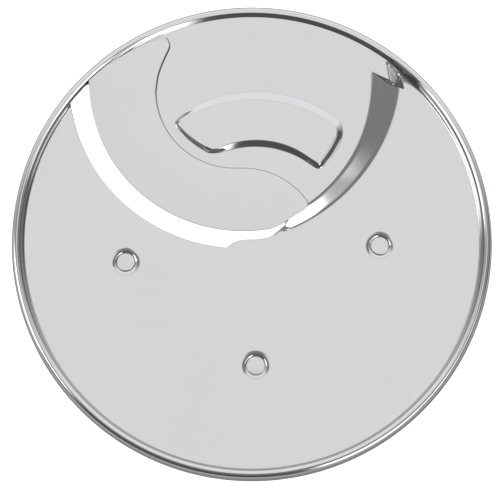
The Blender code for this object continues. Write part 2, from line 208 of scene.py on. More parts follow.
def arc(circle, start_deg, end_deg, step=1.0):
    """Points along a circle ((x, y), radius), both ends included, no more than step millimetres apart."""
    centre, radius = circle
    count = max(1, ceil(abs(radians(end_deg - start_deg)) * radius / step))
    return [polar(radius, start_deg + (end_deg - start_deg) * i / count, centre) for i in range(count + 1)]


def ring(radius, steps, centre=(0.0, 0.0)):
    return [polar(radius, 360.0 * i / steps, centre) for i in range(steps)]


CROSSING_WITHIN_DEG = 12.0
CROSSING_HALVINGS = 40


def crossing_deg(circle, radius, near_deg):
    """The bearing on a circle, near a given one, at which it meets a circle about the disc's axis."""
    low = near_deg - CROSSING_WITHIN_DEG
    high = near_deg + CROSSING_WITHIN_DEG
    rising = hypot(*polar(circle[1], high, circle[0])) > hypot(*polar(circle[1], low, circle[0]))
    for _ in range(CROSSING_HALVINGS):
        middle = (low + high) / 2.0
        outside = hypot(*polar(circle[1], middle, circle[0])) > radius
        if outside == rising:
            high = middle
        else:
            low = middle
    return (low + high) / 2.0


def curved(points, step=0.8):
    """A smooth line through the points (Catmull-Rom), with a point about every step millimetres."""
    line = [points[0]]
    ends = [tuple(2 * Vector(points[0]) - Vector(points[1]))] + list(points)
    ends.append(tuple(2 * Vector(points[-1]) - Vector(points[-2])))
    for a, b, c, d in zip(ends, ends[1:], ends[2:], ends[3:]):
        a, b, c, d = Vector(a), Vector(b), Vector(c), Vector(d)
        count = max(1, ceil((c - b).length / step))
        for k in range(1, count + 1):
            t = k / count
            bend = 2 * b + (c - a) * t + (2 * a - 5 * b + 4 * c - d) * t ** 2 + (3 * b - a - 3 * c + d) * t ** 3
            line.append(tuple(bend / 2))
    return line


def shifted(outline, amount):
    """A closed outline moved sideways by an amount, to the right of its own direction."""
    moved = []
    for i, point in enumerate(outline):
        along = (Vector(outline[(i + 1) % len(outline)]) - Vector(outline[i - 1])).normalized()
        moved.append((point[0] + along.y * amount, point[1] - along.x * amount))
    return moved


def inside(point, outline):
    """Whether a point lies in a closed outline."""
    hit = False
    for (x0, y0), (x1, y1) in zip(outline, outline[1:] + outline[:1]):
        if (y0 > point[1]) != (y1 > point[1]):
            if point[0] < x0 + (x1 - x0) * (point[1] - y0) / (y1 - y0):
                hit = not hit
    return hit


def slot_outline():
    """The slot in the sheet: outer edge, tail near the axis, seat edge under the blade, and the end at the rim."""
    outer_end = crossing_deg(SLOT_OUTER, SLOT_RIM_RADIUS, SLOT_RIM_NEAR_DEG[0])
    seat_end = crossing_deg(SLOT_SEAT, SLOT_RIM_RADIUS, SLOT_RIM_NEAR_DEG[1])
    outer = arc(SLOT_OUTER, outer_end + SLOT_RIM_CORNERS_DEG[0], bearing(SLOT_TAIL[0], SLOT_OUTER[0]))
    seat = arc(SLOT_SEAT, bearing(SLOT_SEAT_START, SLOT_SEAT[0]), seat_end)
    rim = arc(((0.0, 0.0), SLOT_RIM_RADIUS), bearing(seat[-1]), bearing(outer[0]) - SLOT_RIM_CORNERS_DEG[1])
    return outer + curved(SLOT_TAIL)[1:] + seat + rim[1:]


def boss_share(point):
    """Share of the boss's wall at a point: 0 on its foot line, 1 on its crest line, more inside, less outside."""
    shares = []
    for foot, crest, sign in ((*BOSS_REAR, 1.0), (*BOSS_FRONT, -1.0), (*BOSS_LEFT, 1.0), (*BOSS_RIGHT, 1.0)):
        if foot == BOSS_LEFT[0] and point[0] > BOSS_LEFT_UNTIL:
            continue
        if foot == BOSS_RIGHT[0] and point[0] < BOSS_RIGHT_FROM:
            continue
        past_foot = sign * (foot[1] - distance(point, foot[0]))
        past_crest = sign * (crest[1] - distance(point, crest[0]))
        shares.append(past_foot / max(past_foot - past_crest, BOSS_LEAST_WALL))
    shares.sort()
    short = [max(BOSS_CORNER - share, 0.0) for share in shares[:2]]
    return BOSS_CORNER - hypot(*short) if short[1] > 0.0 else shares[0]


def boss_outline(share):
    """The line around the fan-shaped boss at a share of its wall."""
    outline = []
    for i in range(BOSS_STEPS):
        low, high = BOSS_REACH
        for _ in range(BOSS_HALVINGS):
            middle = (low + high) / 2.0
            if boss_share(polar(middle, 360.0 * i / BOSS_STEPS, BOSS_MIDDLE)) > share:
                low = middle
            else:
                high = middle
        outline.append(polar(low, 360.0 * i / BOSS_STEPS, BOSS_MIDDLE))
    return outline


def blade_lines():
    """The blade's plan in three stretches, counter-clockwise: the cutting edge, the back, and the end at the rim."""
    edge_from = crossing_deg(BLADE_EDGE, BLADE_TAB_RADIUS - BLADE_EDGE_SHORT, BLADE_EDGE_DEG[0])
    edge = arc(BLADE_EDGE, edge_from, BLADE_EDGE_DEG[1])
    tail = curved([edge[-1], *BLADE_TAIL])[1:]
    tip = [BLADE_TIP_START] + curved(BLADE_TIP, 0.4)
    inner_back = arc(BLADE_BACK_INNER, BLADE_INNER_DEG, bearing(BLADE_INNER_END, BLADE_BACK_INNER[0]))
    round_back = arc(BLADE_BACK_ROUND, *BLADE_ROUND_DEG)
    shoulder = curved(BLADE_SHOULDER, 0.5)
    near, far = BLADE_RIM_RADII
    rim = []
    for i in range(BLADE_RIM_STEPS + 1):
        rim.append(polar(near + (far - near) * i / BLADE_RIM_STEPS, BLADE_RIM_FROM_DEG + i))
    tab = arc(((0.0, 0.0), BLADE_TAB_RADIUS), *BLADE_TAB_DEG)
    return edge + tail, tip + inner_back + round_back[1:] + shoulder, rim + tab


# ------------------------------------------------------------------------------------------------ sheet surface

def smooth_max(a, b, blend):
    overlap = max(blend - abs(a - b), 0.0) / blend
    return max(a, b) + overlap * overlap * blend * 0.25


def smooth_clamp(value, blend):
    """value held between 0 and 1, with both corners eased over the blend."""
    low = smooth_max(value, 0.0, blend)
    return 1.0 - smooth_max(1.0 - low, 0.0, blend)


def section_height(radius, section):
    """Height at a radius on a section given by its (radius, height) corners."""
    for (near, low), (far, high) in zip(section, section[1:]):
        if radius < far:
            return low + (high - low) * max(0.0, (radius - near) / (far - near))
    return section[-1][1]


def dimple_height(run):
    """Height in a dimple at a distance from its floor's edge: a short steep wall, then a wide soft lip."""
    left = max(0.0, (DIMPLE_RUN - run) / DIMPLE_LIP)
    lip = -0.5 * DIMPLE_LIP * tan(radians(DIMPLE_LIP_DEG)) * left * left
    return max(-DIMPLE_DEPTH, min(run * tan(radians(DIMPLE_WALL_DEG)) - DIMPLE_DEPTH, lip))


RIM_SKIRT_LEAN = radians(RIM_SKIRT_DEG)
RIM_CREST = DISC_RADIUS - RIM_CURL_ROUND * sin(RIM_SKIRT_LEAN) - RIM_SKIRT * cos(RIM_SKIRT_LEAN)
RIM_BEND = RIM_CURL_ROUND * RIM_SKIRT_LEAN
RIM_EDGE = RIM_CREST + RIM_BEND + RIM_SKIRT
DIMPLE_WALL_RUN = (DIMPLE_DEPTH - 0.5 * DIMPLE_LIP * tan(radians(DIMPLE_LIP_DEG))) / tan(radians(DIMPLE_WALL_DEG))
DIMPLE_RUN = DIMPLE_WALL_RUN + DIMPLE_LIP
DIMPLE_RADIUS = DIMPLE_FLOOR_RADIUS + DIMPLE_RUN


def share_between(value, ends):
    """0 up to the first end, 1 from the second, and even in between."""
    return min(1.0, max(0.0, (value - ends[0]) / (ends[1] - ends[0])))


def stud_place(name):
    return polar(STUD_CIRCLE, STUD_PLACES_DEG[name])


def ramp_share(point):
    """1 on the plateau, 0 on the main plate, and in between on the ramp, with eased folds."""
    past_top = distance(point, RAMP_TOP[0]) - RAMP_TOP[1]
    before_base = RAMP_BASE[1] - distance(point, RAMP_BASE[0])
    return smooth_clamp(before_base / (past_top + before_base), RAMP_FOLD)


def plateau_height(point):
    """Height of the main plate or plateau, with the plateau fading out at the slot's end at the rim."""
    if distance(point, PLATEAU_LIMIT[0]) >= PLATEAU_LIMIT[1]:
        return 0.0
    fade = 1.0
    if hypot(*point) >= SLOT_RIM_RADIUS and point[0] < 0.0:
        fade = 1.0 - share_between(bearing(point), PLATEAU_FADE_DEG)
    return PLATEAU_RISE * ramp_share(point) * fade


def cove_height(point):
    """Height of the rim's cove over the plateau: wide at the rear, drawn in tight along the blade's end."""
    radius = hypot(*point)
    wide = section_height(radius, COVE_SECTION)
    tight = smooth_max(PLATEAU_RISE, section_height(radius, RIM_SECTION), COVE_BLEND)
    share = share_between(bearing(point), COVE_TIGHTENS_DEG) if point[0] < 0.0 else 0.0
    return wide + (tight - wide) * share


def gusset_height(point):
    """Height of the plateau's corner by the rim: steep towards the ramp, falling softly towards the rim."""
    front = (Vector(point) - Vector(GUSSET_CORNER)).dot(Vector(polar(1.0, GUSSET_FRONT[0])))
    side = (Vector(point) - Vector(GUSSET_FOLD)).dot(Vector(polar(1.0, GUSSET_SIDE[0])))
    fall = GUSSET_SIDE[1] * smooth_max(0.0, side, GUSSET_SIDE_ROUND)
    return PLATEAU_RISE - GUSSET_FRONT[1] * max(0.0, front) - fall


def swell_height(point):
    """The stretched sheet swelling up to the rim beyond the gusset, with two small dents."""
    share = (bearing(point) - SWELL_FROM_DEG) / (SWELL_TO_DEG - SWELL_FROM_DEG)
    radius = hypot(*point)
    if not 0.0 < share < 1.0 or radius < SWELL_FOOT:
        return 0.0
    climb = min(1.0, (radius - SWELL_FOOT) / (RIM_CREST - SWELL_SHORT_OF_CREST - SWELL_FOOT))
    height = SWELL_RISE * sin(pi * share) * climb ** 2
    for centre, reach, depth in SWELL_DENTS:
        off = distance(point, centre) / reach
        if off < 1.0:
            height -= depth * (1.0 - off * off) ** 2
    return height


def sheet_height(point):
    """Height of the sheet's upper face over the main plate, out to the rim's crest."""
    radius = hypot(*point)
    base = plateau_height(point)
    swell = 0.0
    if point[0] > GUSSET_BEYOND[0] and point[1] > GUSSET_BEYOND[1]:
        base = max(base, gusset_height(point))
        swell = swell_height(point)
    raised = min(1.0, base / PLATEAU_RISE)
    rim = section_height(radius, RIM_SECTION)
    rim += (1.0 - rim / RIM_RISE) * swell
    height = rim + (cove_height(point) - rim) * raised
    for name in STUD_PLACES_DEG:
        off = distance(point, stud_place(name))
        if off < DIMPLE_RADIUS:
            height = dimple_height(off - DIMPLE_FLOOR_RADIUS)
    return height


def upper_face(point):
    """The upper face at a point of the flat pattern: beyond the crest the pattern runs down the rim's outside."""
    radius = hypot(*point)
    if radius <= RIM_CREST:
        return Vector((point[0], point[1], sheet_height(point)))
    run = radius - RIM_CREST
    bend = min(run, RIM_BEND) / RIM_CURL_ROUND
    skirt = max(0.0, run - RIM_BEND)
    out = RIM_CREST + RIM_CURL_ROUND * sin(bend) + skirt * cos(RIM_SKIRT_LEAN)
    drop = RIM_CURL_ROUND * (1.0 - cos(bend)) + skirt * sin(RIM_SKIRT_LEAN)
    return Vector((point[0] / radius * out, point[1] / radius * out, RIM_RISE - drop))


# ------------------------------------------------------------------------------------------------ the disc plate

def spread(start, end, count):
    return [start + (end - start) * i / count for i in range(count + 1)]


def rim_loops():
    """Rings of the rim, closest together where its section bends."""
    radii = {COVE_SECTION[0][0] - 0.4}
    for section in (RIM_SECTION, COVE_SECTION):
        for (near, _), (far, _) in zip(section, section[1:]):
            radii.update((near, near + (far - near) * 0.25, near + (far - near) * 0.75))
    radii = sorted(radii)
    radii = [radius for radius, after in zip(radii, radii[1:] + [RIM_CREST]) if after - radius > 0.04]
    radii.append(RIM_CREST)
    radii += spread(RIM_CREST, RIM_CREST + RIM_BEND, 12)[1:] + spread(RIM_CREST + RIM_BEND, RIM_EDGE, 3)[1:]
    radii.insert(-1, RIM_EDGE - CUT_EDGE_ROUND)
    return [ring(radius, RIM_STEPS) for radius in radii]


def dimple_loops(name):
    """Rings of one dimple, from just outside its lip to just outside its hole."""
    radii = [DIMPLE_RADIUS + 0.4] + spread(DIMPLE_RADIUS, DIMPLE_FLOOR_RADIUS + DIMPLE_WALL_RUN, 8)
    radii += [DIMPLE_FLOOR_RADIUS + DIMPLE_WALL_RUN * share for share in (0.85, 0.15, 0.0)]
    radii += [STUD_HOLE_RADIUS + 0.08]
    return [ring(radius, TURNED_STEPS, stud_place(name)) for radius in radii]


def ramp_lines():
    """Lines along the ramp's two folds and between them, from the slot's tail to the rim."""
    lines = []
    for off in RAMP_LINE_OFFS:
        for fold, ends, side in ((RAMP_TOP, RAMP_TOP_ENDS, 1.0), (RAMP_BASE, RAMP_BASE_ENDS, -1.0)):
            circle = (fold[0], fold[1] + side * off)
            rim_radius, near_deg, slot_end = ends
            start_deg = crossing_deg(circle, rim_radius, near_deg)
            lines.append(arc(circle, start_deg, bearing(slot_end, fold[0]) - 360.0))
    return lines


def gusset_points():
    """A fine net of points over the gusset, up to the rim's section."""
    x, y = GUSSET_NET_FROM
    columns, rows = GUSSET_NET_COUNTS
    points = [(x + GUSSET_NET_STEP * i, y + GUSSET_NET_STEP * k) for i in range(columns) for k in range(rows)]
    return [point for point in points if hypot(*point) < COVE_SECTION[0][0] - 0.5]


def gusset_lines():
    """The top and foot of the gusset's steep front."""
    front = Vector(polar(1.0, GUSSET_FRONT[0]))
    along = Vector((-front.y, front.x))
    lines = []
    for off in (0.0, GUSSET_WALL):
        start = Vector(GUSSET_CORNER) + front * off
        steps = range(GUSSET_LINE_STEPS + 1)
        lines.append([tuple(start + along * GUSSET_LINE * i / GUSSET_LINE_STEPS) for i in steps])
    return lines


def triangulated(loops, holes, lines, loose=()):
    """Points, the loop or line number of each (or None), and triangles of the pattern, the holes left open."""
    points = []
    edges = []
    owner = []
    for number, loop in enumerate(loops + holes):
        first = len(points)
        points += loop
        owner += [number] * len(loop)
        edges += [(first + i, first + (i + 1) % len(loop)) for i in range(len(loop))]
    for number, line in enumerate(lines):
        first = len(points)
        points += line
        owner += [len(loops) + len(holes) + number] * len(line)
        edges += [(first + i, first + i + 1) for i in range(len(line) - 1)]
    points += loose
    owner += [None] * len(loose)
    flat = [Vector(point) for point in points]
    corners, _, faces, origins, _, _ = delaunay_2d_cdt(flat, edges, [], 0, 1e-5)
    owners = [owner[origin[0]] if origin else None for origin in origins]
    kept = []
    for face in faces:
        middle = sum((corners[i] for i in face), Vector((0.0, 0.0))) / len(face)
        if not any(inside(middle, hole) for hole in holes):
            kept.append(face)
    return [tuple(corner) for corner in corners], owners, kept


def plate_mesh():
    """The pressed disc as one closed shell of even thickness with eased cut edges."""
    loops = [boss_outline(share) for share in BOSS_SHARES]
    loops += rim_loops()
    holes = [slot_outline()]
    loops.append(shifted(holes[0], CUT_EDGE_ROUND))
    for name in STUD_PLACES_DEG:
        loops += dimple_loops(name)
        holes.append(ring(STUD_HOLE_RADIUS, TURNED_STEPS, stud_place(name)))
    first_line = len(loops) + len(holes)
    back = blade_lines()[1]
    closed_back = [back[0]] + back + [back[-1]]
    first, last = BLADE_LINE_TRIM
    lines = [shifted(closed_back, off)[first:-last] for off, _ in BLADE_LINE] + ramp_lines() + gusset_lines()
    points, owners, faces = triangulated(loops, holes, lines, gusset_points())
    shell = bmesh.new()
    upper = []
    for point, owner in zip(points, owners):
        high = upper_face(point)
        if owner is not None and owner < len(BOSS_SHARES):
            high.z += BOSS_RISE * smooth_clamp(BOSS_SHARES[owner], BOSS_FOLD)
        elif owner is not None and first_line <= owner < first_line + len(BLADE_LINE):
            high.z -= BLADE_LINE[owner - first_line][1]
        upper.append(shell.verts.new(high))
    for face in faces:
        shell.faces.new([upper[i] for i in face])
    bmesh.ops.delete(shell, geom=[vert for vert in upper if not vert.link_faces], context="VERTS")
    upper = list(shell.verts)
    shell.normal_update()
    normals = [vert.normal.copy() for vert in upper]
    top_faces = list(shell.faces)
    border = [edge.link_loops[0] for edge in shell.edges if edge.is_boundary]
    border = [(loop.vert, loop.link_loop_next.vert) for loop in border]
    partner = {vert: shell.verts.new(vert.co - normal * SHEET) for vert, normal in zip(upper, normals)}
    for face in top_faces:
        shell.faces.new([partner[vert] for vert in reversed(face.verts)])
    for start, end in border:
        shell.faces.new([end, start, partner[start], partner[end]])
    eased = {vert for pair in border for vert in pair}
    for vert, normal in zip(upper, normals):
        if vert in eased:
            vert.co -= normal * CUT_EDGE_ROUND
            partner[vert].co += normal * CUT_EDGE_ROUND
    return shell


# ----------------------------------------------------------------------------------------------- blade and studs

def blade_mesh():
    """The blade: flat on top, ground from below along its cutting edge, its other corners eased."""
    edge, back, end = blade_lines()
    outline, edge_count = edge + back + end, len(edge)
    blade = bmesh.new()
    top = BLADE_THICKNESS
    rings = {"upper": [], "shoulder": [], "land": [], "lower": []}
    inner = shifted(outline, -BLADE_CORNER_ROUND)
    for i, (x, y) in enumerate(outline):
        cutting = i < edge_count
        rings["upper"].append(blade.verts.new((*inner[i], top)))
        rings["shoulder"].append(blade.verts.new((x, y, top - BLADE_CORNER_ROUND)))
        if cutting:
            inward = (Vector(BLADE_EDGE[0]) - Vector((x, y))).normalized() * BLADE_GRIND
            rings["land"].append(blade.verts.new((x, y, top - BLADE_EDGE_LAND - 0.02)))
            rings["lower"].append(blade.verts.new((x + inward.x, y + inward.y, SEAT_GAP)))
        else:
            rings["land"].append(blade.verts.new((x, y, SEAT_GAP + BLADE_CORNER_ROUND)))
            rings["lower"].append(blade.verts.new((*inner[i], SEAT_GAP)))
    names = list(rings)
    for high, low in zip(names, names[1:]):
        for i in range(len(outline)):
            k = (i + 1) % len(outline)
            blade.faces.new([rings[high][i], rings[low][i], rings[low][k], rings[high][k]])
    for name in ("upper", "lower"):
        rim = [(vert.co.x, vert.co.y) for vert in rings[name]]
        points, _, faces = triangulated([rim], [], [])
        for face in faces:
            middle = [sum(points[i][axis] for i in face) / len(face) for axis in (0, 1)]
            if inside(middle, rim):
                blade.faces.new([rings[name][i] for i in face])
    bmesh.ops.recalc_face_normals(blade, faces=blade.faces)
    return blade


def stud_profile():
    """The turned stud's (radius, height) outline from its staked end down, z = 0 at the head's end."""
    ease = TURNED_EASE
    fillet, inner = TURNED_FILLET
    chamfer = HEAD_CHAMFER
    shoulder, neck, head = STUD_SHOULDER[0], STUD_NECK[0], STUD_HEAD[0]
    head_top = STUD_HEAD[1]
    neck_top = STUD_HEAD[1] + STUD_NECK[1]
    pin_top = STUD_LENGTH + STAKE_GAP + SHEET
    return [
        (0.0, pin_top), (STUD_PIN_MARK - 0.1, pin_top), (STUD_PIN_MARK, pin_top - 0.02),
        (STUD_PIN_MARK + 0.1, pin_top), (STUD_PIN_RADIUS - ease, pin_top),
        (STUD_PIN_RADIUS - 0.03, pin_top - 0.04), (STUD_PIN_RADIUS, pin_top - ease), (STUD_PIN_RADIUS, STUD_LENGTH),
        (shoulder - ease, STUD_LENGTH), (shoulder, STUD_LENGTH - ease), (shoulder, neck_top + ease),
        (shoulder - ease, neck_top), (neck + fillet, neck_top), (neck + inner, neck_top - inner),
        (neck, neck_top - fillet), (neck, head_top + fillet), (neck + inner, head_top + inner),
        (neck + fillet, head_top), (head - chamfer, head_top), (head - ease, head_top - ease),
        (head, head_top - chamfer), (head, chamfer), (head - ease, ease), (head - chamfer, 0.0), *HEAD_CENTRE,
    ]


def stud_mesh():
    stud = bmesh.new()
    profile = [stud.verts.new((radius, 0.0, height)) for radius, height in stud_profile()]
    edges = [stud.edges.new(pair) for pair in zip(profile, profile[1:])]
    bmesh.ops.spin(stud, geom=profile + edges, cent=(0, 0, 0), axis=(0, 0, 1), angle=2.0 * pi, steps=TURNED_STEPS)
    bmesh.ops.remove_doubles(stud, verts=stud.verts, dist=1e-4)
    bmesh.ops.recalc_face_normals(stud, faces=stud.faces)
    return stud


def placed(name, mesh_data, material, offset=(0.0, 0.0, 0.0), sharp_deg=40.0):
    """A bmesh in millimetres becomes a smooth-shaded object in metres, riding on the disc."""
    bmesh.ops.translate(mesh_data, verts=mesh_data.verts, vec=offset)
    bmesh.ops.scale(mesh_data, vec=(MM, MM, MM), verts=mesh_data.verts)
    mesh = bpy.data.meshes.new(name)
    mesh_data.to_mesh(mesh)
    mesh_data.free()
    mesh.materials.append(material)
    mesh.shade_smooth()
    mesh.set_sharp_from_angle(angle=radians(sharp_deg))
    piece = bpy.data.objects.new(name, mesh)
    bpy.context.collection.objects.link(piece)
    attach(piece, "root")
    return piece


# ------------------------------------------------------------------------------------------------------- steels

def steel_finish_group():
    """Rolled and brushed steel: fine grain along X, faint cloudiness, and slight wear along edges."""
    found = bpy.data.node_groups.get("steel_finish")
    if found:
        return found
    group = bpy.data.node_groups.new("steel_finish", "ShaderNodeTree")
    sockets = [
        ("Steel", "NodeSocketColor", (0.66, 0.67, 0.66, 1.0)),
        ("Grain Size", "NodeSocketFloat", 2500.0),
        ("Grain Stretch", "NodeSocketFloat", 0.03),
        ("Grain Tone", "NodeSocketFloat", 0.04),
        ("Smoothest", "NodeSocketFloat", 0.14),
        ("Roughest", "NodeSocketFloat", 0.22),
        ("Edge Wear", "NodeSocketFloat", 0.15),
    ]
    for name, kind, default in sockets:
        socket = group.interface.new_socket(name, in_out="INPUT", socket_type=kind)
        socket.default_value = default
    for name, kind in (("Color", "NodeSocketColor"), ("Roughness", "NodeSocketFloat"), ("Height", "NodeSocketFloat")):
        group.interface.new_socket(name, in_out="OUTPUT", socket_type=kind)
    nodes = group.nodes
    link = group.links.new
    given = nodes.new("NodeGroupInput")
    result = nodes.new("NodeGroupOutput")
    place = nodes.new("ShaderNodeTexCoord")

    stretch = nodes.new("ShaderNodeCombineXYZ")
    link(given.outputs["Grain Stretch"], stretch.inputs["X"])
    stretch.inputs["Y"].default_value = 1.0
    stretch.inputs["Z"].default_value = 1.0
    squeezed = nodes.new("ShaderNodeVectorMath")
    squeezed.operation = "MULTIPLY"
    link(place.outputs["Object"], squeezed.inputs[0])
    link(stretch.outputs["Vector"], squeezed.inputs[1])
    grain = nodes.new("ShaderNodeTexNoise")
    grain.inputs["Detail"].default_value = 3.0
    link(squeezed.outputs["Vector"], grain.inputs["Vector"])
    link(given.outputs["Grain Size"], grain.inputs["Scale"])

    cloud = nodes.new("ShaderNodeTexNoise")
    cloud.inputs["Scale"].default_value = 35.0
    cloud.inputs["Detail"].default_value = 4.0
    link(place.outputs["Object"], cloud.inputs["Vector"])

    grain_tone = nodes.new("ShaderNodeMath")
    grain_tone.operation = "MULTIPLY_ADD"
    link(grain.outputs["Fac"], grain_tone.inputs[0])
    link(given.outputs["Grain Tone"], grain_tone.inputs[1])
    cloud_tone = nodes.new("ShaderNodeMapRange")
    cloud_tone.inputs["To Min"].default_value = 0.965
    cloud_tone.inputs["To Max"].default_value = 1.005
    link(cloud.outputs["Fac"], cloud_tone.inputs["Value"])
    link(cloud_tone.outputs["Result"], grain_tone.inputs[2])

    shape = nodes.new("ShaderNodeNewGeometry")
    edge = nodes.new("ShaderNodeMapRange")
    edge.inputs["From Min"].default_value = 0.52
    edge.inputs["From Max"].default_value = 0.62
    link(shape.outputs["Pointiness"], edge.inputs["Value"])
    worn = nodes.new("ShaderNodeMath")
    worn.operation = "MULTIPLY_ADD"
    link(edge.outputs["Result"], worn.inputs[0])
    link(given.outputs["Edge Wear"], worn.inputs[1])
    link(grain_tone.outputs["Value"], worn.inputs[2])
    toned = nodes.new("ShaderNodeVectorMath")
    toned.operation = "SCALE"
    link(given.outputs["Steel"], toned.inputs[0])
    link(worn.outputs["Value"], toned.inputs["Scale"])
    link(toned.outputs["Vector"], result.inputs["Color"])

    patches = nodes.new("ShaderNodeMapRange")
    patches.inputs["From Min"].default_value = 0.35
    patches.inputs["From Max"].default_value = 0.65
    link(cloud.outputs["Fac"], patches.inputs["Value"])
    link(given.outputs["Smoothest"], patches.inputs["To Min"])
    link(given.outputs["Roughest"], patches.inputs["To Max"])
    link(patches.outputs["Result"], result.inputs["Roughness"])
    link(grain.outputs["Fac"], result.inputs["Height"])
    return group


def steel(name, colour, grain_size, stretch, tone, roughness, wear, bump):
    """A steel whose colour, roughness and grain come from the shared finish."""
    material = bpy.data.materials.new(name)
    material.use_nodes = True
    nodes = material.node_tree.nodes
    link = material.node_tree.links.new
    shader = nodes["Principled BSDF"]
    shader.inputs["Metallic"].default_value = 1.0
    shader.inputs["Specular Tint"].default_value = (0.7, 0.7, 0.7, 1.0)
    finish = nodes.new("ShaderNodeGroup")
    finish.node_tree = steel_finish_group()
    finish.inputs["Steel"].default_value = (*colour, 1.0)
    finish.inputs["Grain Size"].default_value = grain_size
    finish.inputs["Grain Stretch"].default_value = stretch
    finish.inputs["Grain Tone"].default_value = tone
    finish.inputs["Smoothest"].default_value = roughness[0]
    finish.inputs["Roughest"].default_value = roughness[1]
    finish.inputs["Edge Wear"].default_value = wear
    relief = nodes.new("ShaderNodeBump")
    relief.inputs["Strength"].default_value = bump
    relief.inputs["Distance"].default_value = 0.00002
    link(finish.outputs["Height"], relief.inputs["Height"])
    link(finish.outputs["Color"], shader.inputs["Base Color"])
    link(finish.outputs["Roughness"], shader.inputs["Roughness"])
    link(relief.outputs["Normal"], shader.inputs["Normal"])
    return material


# ------------------------------------------------------------------------------------------------------- studio

FLOOR_REACH = 4.0
FLOOR_BELOW = 0.0002
SENSOR_WIDTH = 36.0
LENS_SHIFT = (-0.0037, -0.0191)

# Brightness around the sky in rings from the horizon up: (sine of the height where the ring fades in, where it is
# full, and stops of (degrees, brightness)).
SKY_RINGS = (
    (0.0, 0.0, [(-180, 0.35), (-136, 0.15), (-128, 0.08), (-70, 0.08), (12, 0.12), (30, 0.7), (42, 1.15),
                (150, 1.15), (160, 0.7), (176, 0.5), (180, 0.35)]),
    (0.14, 0.22, [(-180, 2.6), (-165, 2.6), (-158, 0.1), (-74, 0.1), (-67, 2.6), (-46, 2.6), (-38, 0.6),
                  (-30, 0.6), (-22, 0.12), (14, 0.15), (45, 1.08), (135, 1.08), (160, 0.5), (168, 0.4),
                  (176, 2.6), (180, 2.6)]),
    (0.42, 0.47, [(-180, 2.6), (-152, 2.6), (-146, 0.1), (-74, 0.1), (-67, 2.6), (-26, 2.6), (-18, 1.3),
                  (-8, 1.3), (0, 0.3), (14, 0.4), (45, 1.08), (135, 1.08), (160, 0.5), (168, 0.4), (176, 2.6),
                  (180, 2.6)]),
    (0.6, 0.64, [(-180, 2.6), (-152, 2.6), (-146, 0.1), (-74, 0.1), (-67, 2.6), (-50, 2.6), (-42, 0.6),
                 (-24, 0.6), (-18, 1.3), (-8, 1.3), (0, 0.3), (14, 0.4), (45, 1.08), (135, 1.08), (160, 0.5),
                 (168, 0.4), (176, 2.6), (180, 2.6)]),
    (0.69, 0.75, [(-180, 0.3), (-136, 0.25), (-128, 0.2), (-70, 0.2), (-40, 0.22), (-15, 0.27), (36, 0.27),
                  (52, 0.92), (128, 0.92), (150, 0.3), (180, 0.3)]),
    (0.905, 0.935, [(-180, 1.0), (-160, 0.9), (-130, 0.32), (-50, 0.32), (-20, 0.9), (0, 1.0), (180, 1.0)]),
    (0.985, 0.996, [(-180, 1.0), (180, 1.0)]),
)


def ring_of_light(world, turned, stops):
    """A colour that changes with the direction around the disc; stops are (degrees, brightness)."""
    ramp = world.node_tree.nodes.new("ShaderNodeValToRGB")
    elements = ramp.color_ramp.elements
    while len(elements) < len(stops):
        elements.new(0.5)
    for element, (angle, colour) in zip(elements, stops):
        element.position = (angle + 180.0) / 360.0
        element.color = (colour, colour, colour * (1.03 if 40 < angle < 140 else 1.0), 1.0)
    world.node_tree.links.new(turned, ramp.inputs["Fac"])
    return ramp.outputs["Color"]


def studio_world():
    """A soft studio as a sky: pale overhead, a darker ring, two bright cards in front to the left and right."""
    world = bpy.data.worlds.new("studio")
    bpy.context.scene.world = world
    world.use_nodes = True
    nodes = world.node_tree.nodes
    link = world.node_tree.links.new
    where = nodes.new("ShaderNodeTexCoord")
    split = nodes.new("ShaderNodeSeparateXYZ")
    link(where.outputs["Generated"], split.inputs["Vector"])
    turn = nodes.new("ShaderNodeMath")
    turn.operation = "ARCTAN2"
    link(split.outputs["Y"], turn.inputs[0])
    link(split.outputs["X"], turn.inputs[1])
    share = nodes.new("ShaderNodeMapRange")
    share.inputs["From Min"].default_value = -pi
    share.inputs["From Max"].default_value = pi
    link(turn.outputs["Value"], share.inputs["Value"])
    below = None
    for low_edge, high_edge, stops in SKY_RINGS:
        ring_colour = ring_of_light(world, share.outputs["Result"], stops)
        if below is None:
            below = ring_colour
            continue
        rise = nodes.new("ShaderNodeMapRange")
        rise.interpolation_type = "SMOOTHSTEP"
        rise.inputs["From Min"].default_value = low_edge
        rise.inputs["From Max"].default_value = high_edge
        link(split.outputs["Z"], rise.inputs["Value"])
        blend = nodes.new("ShaderNodeMix")
        blend.data_type = "RGBA"
        link(rise.outputs["Result"], blend.inputs[0])
        link(below, blend.inputs[6])
        link(ring_colour, blend.inputs[7])
        below = blend.outputs[2]
    link(below, nodes["Background"].inputs["Color"])
    return world


def floor_material(brightness):
    """A plain pale floor that looks evenly white however little light falls on it."""
    material = bpy.data.materials.new("pale_floor")
    material.use_nodes = True
    nodes = material.node_tree.nodes
    shader = nodes["Principled BSDF"]
    shader.inputs["Base Color"].default_value = (0.75, 0.75, 0.75, 1.0)
    shader.inputs["Roughness"].default_value = 1.0
    shader.inputs["Specular IOR Level"].default_value = 0.0
    shader.inputs["Emission Color"].default_value = (1.0, 1.0, 1.0, 1.0)
    seen = nodes.new("ShaderNodeLightPath")
    glow = nodes.new("ShaderNodeMath")
    glow.operation = "MULTIPLY"
    glow.inputs[1].default_value = brightness
    material.node_tree.links.new(seen.outputs["Is Camera Ray"], glow.inputs[0])
    material.node_tree.links.new(glow.outputs["Value"], shader.inputs["Emission Strength"])
    return material


# ------------------------------------------------------------------------------------------------ the add-on's UI

